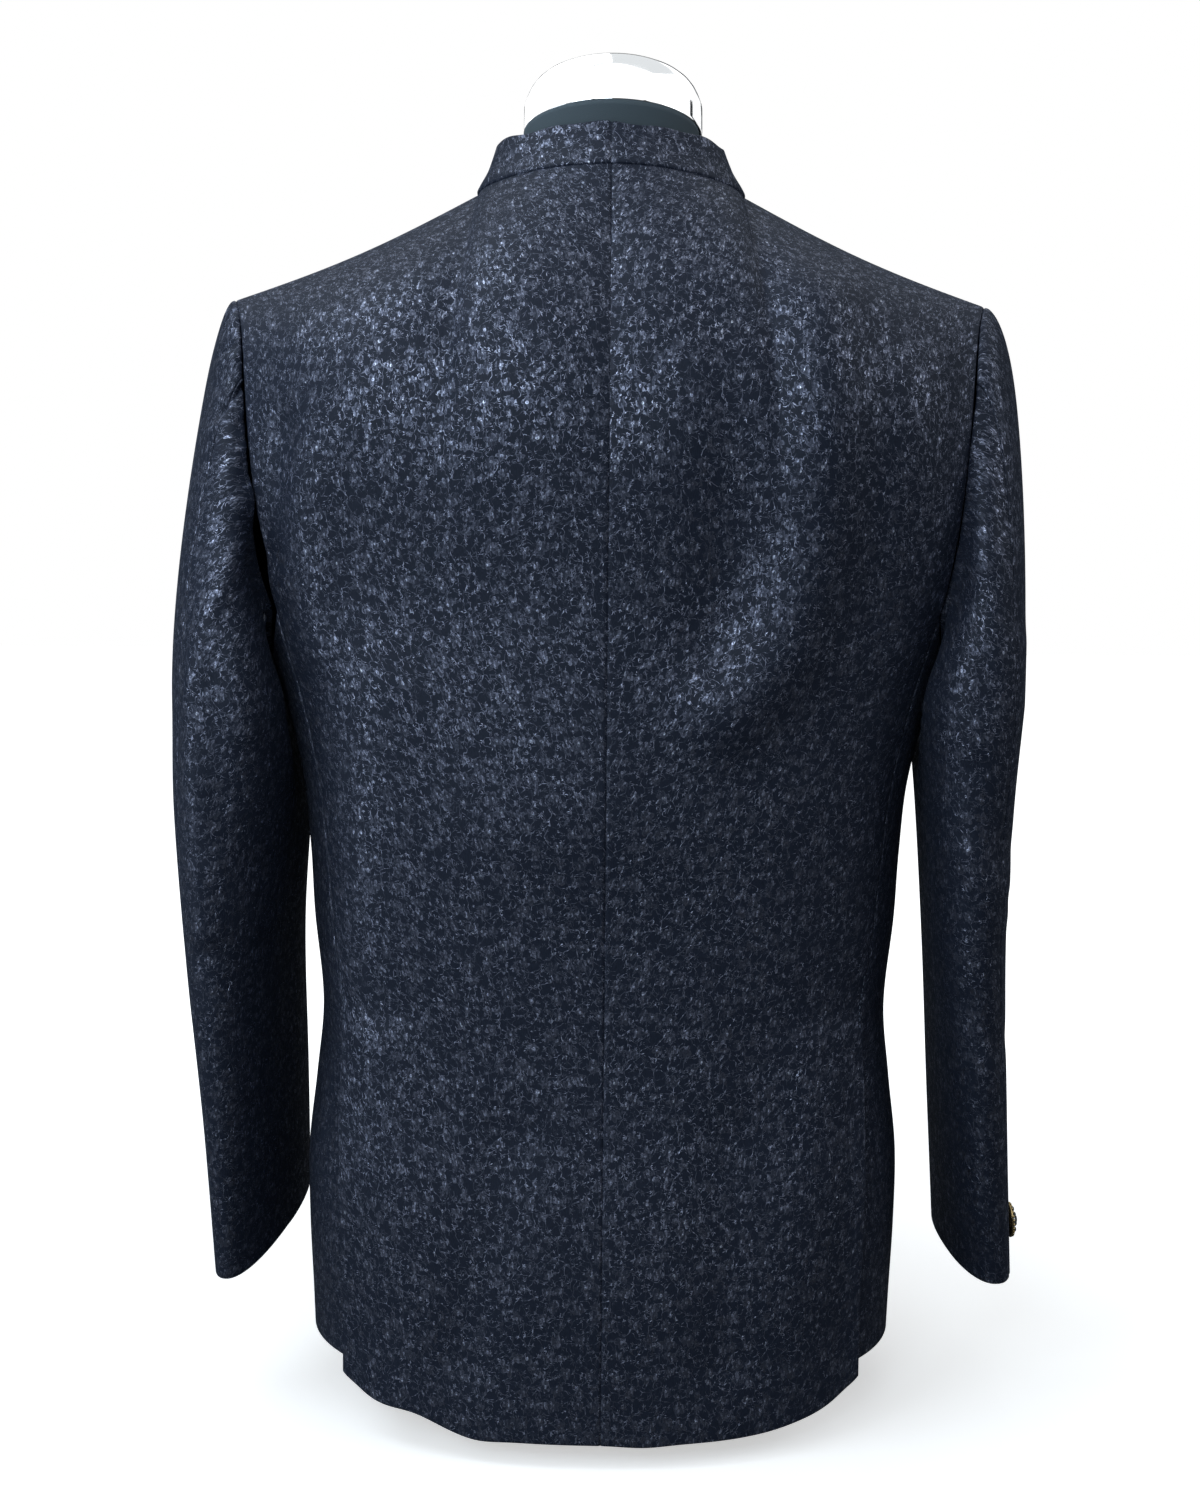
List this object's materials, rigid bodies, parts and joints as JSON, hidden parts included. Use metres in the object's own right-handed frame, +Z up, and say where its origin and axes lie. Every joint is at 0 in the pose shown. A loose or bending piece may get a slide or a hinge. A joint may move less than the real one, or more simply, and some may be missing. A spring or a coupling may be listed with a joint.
{
  "type": "bandhgala jacket and waistcoat on a dress form",
  "caption": "Navy brocade bandhgala jacket with a stand collar, buttoned over a plain waistcoat and worn by a limbless dress form with a polished neck cap.",
  "frame": {"origin": "centre of the dress form's flat base, on the surface it stands on", "axes": "+Z up, -Y is the wearer's front, +X is the wearer's left"},
  "size_m": [0.5213, 0.276, 0.8084],
  "materials": {
    "brocade": "woven silk brocade, satin sheen",
    "suiting": "plain matte weave",
    "jewelled_metal": "polished, set with clear stones",
    "horn": "satin",
    "form_cover": "fine matte jersey",
    "cap_metal": "polished"
  },
  "bodies": {
    "root": {"back_left": "brocade", "back_right": "brocade", "side_left": "brocade", "side_right": "brocade", "front_left": "brocade", "front_right": "brocade", "collar": "brocade", "sleeve_top_left": "brocade", "sleeve_under_left": "brocade", "sleeve_top_right": "brocade", "sleeve_under_right": "brocade", "button_front_1": "jewelled_metal", "button_front_2": "jewelled_metal", "button_front_3": "jewelled_metal", "button_front_4": "jewelled_metal", "button_front_5": "jewelled_metal", "button_front_6": "jewelled_metal", "button_cuff_left": "jewelled_metal", "button_cuff_right": "jewelled_metal", "waistcoat_back": "suiting", "waistcoat_front_left": "suiting", "waistcoat_front_right": "suiting", "button_waistcoat_1": "horn", "button_waistcoat_2": "horn", "button_waistcoat_3": "horn", "button_waistcoat_4": "horn", "button_waistcoat_5": "horn", "form_torso": "form_cover", "neck_cap": "cap_metal"}
  },
  "joints": []
}
